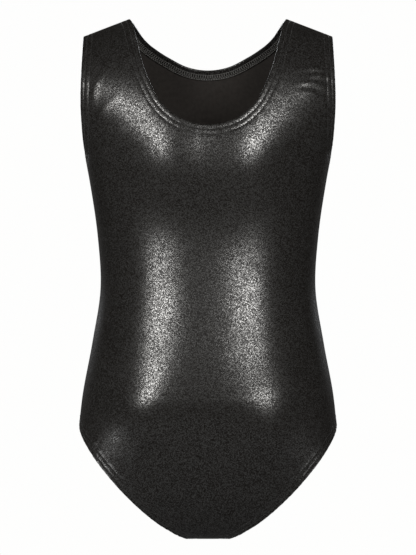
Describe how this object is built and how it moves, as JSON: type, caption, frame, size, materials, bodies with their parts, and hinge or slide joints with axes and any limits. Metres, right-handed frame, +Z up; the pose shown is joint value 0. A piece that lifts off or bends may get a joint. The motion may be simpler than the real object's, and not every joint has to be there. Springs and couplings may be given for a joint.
{
  "type": "gymnastics leotard",
  "caption": "Girl's sleeveless tank leotard in shiny foil-printed stretch fabric, with scooped neck, elasticated openings and a lined crotch.",
  "frame": {"origin": "middle of the shoulder line, midway between the undersides of the two shoulder seams, where a hanger or the wearer's shoulders carry the garment", "axes": "+Z up towards the neck, -Y the way the front panel faces, +X towards the wearer's left; the garment is the same on both sides of X = 0 except for the care label"},
  "size_m": [0.2722, 0.184, 0.5503],
  "materials": {
    "foil_fabric": "black stretch fabric with a glossy speckled foil print outside and a matt knitted inside",
    "knitted_elastic": "black knitted elastic, sealed inside the hems",
    "sewing_thread": "black textured polyester thread",
    "overlocked_seam": "seam allowance bound with black thread",
    "cotton_lining": "soft matt black jersey",
    "satin_label": "blank white satin tape"
  },
  "bodies": {
    "garment": {"front_panel": "foil_fabric", "back_panel": "foil_fabric", "neck_elastic": "knitted_elastic", "neck_edge_needle_thread": "sewing_thread", "neck_inner_needle_thread": "sewing_thread", "neck_looper_thread": "sewing_thread", "left_armhole_elastic": "knitted_elastic", "left_armhole_edge_needle_thread": "sewing_thread", "left_armhole_inner_needle_thread": "sewing_thread", "left_armhole_looper_thread": "sewing_thread", "right_armhole_elastic": "knitted_elastic", "right_armhole_edge_needle_thread": "sewing_thread", "right_armhole_inner_needle_thread": "sewing_thread", "right_armhole_looper_thread": "sewing_thread", "left_leg_elastic": "knitted_elastic", "left_leg_edge_needle_thread": "sewing_thread", "left_leg_inner_needle_thread": "sewing_thread", "left_leg_looper_thread": "sewing_thread", "right_leg_elastic": "knitted_elastic", "right_leg_edge_needle_thread": "sewing_thread", "right_leg_inner_needle_thread": "sewing_thread", "right_leg_looper_thread": "sewing_thread", "left_shoulder_seam": "overlocked_seam", "left_side_seam": "overlocked_seam", "right_shoulder_seam": "overlocked_seam", "right_side_seam": "overlocked_seam", "crotch_seam": "overlocked_seam", "crotch_lining": "cotton_lining"},
    "label": {"care_label": "satin_label"}
  },
  "joints": [
    {"name": "label_flap", "type": "hinge", "parent": "garment", "child": "label", "pos_m": [0.1051, 0, -0.27404], "axis": [0, 0, 1], "range_deg": [-15, 135]}
  ]
}
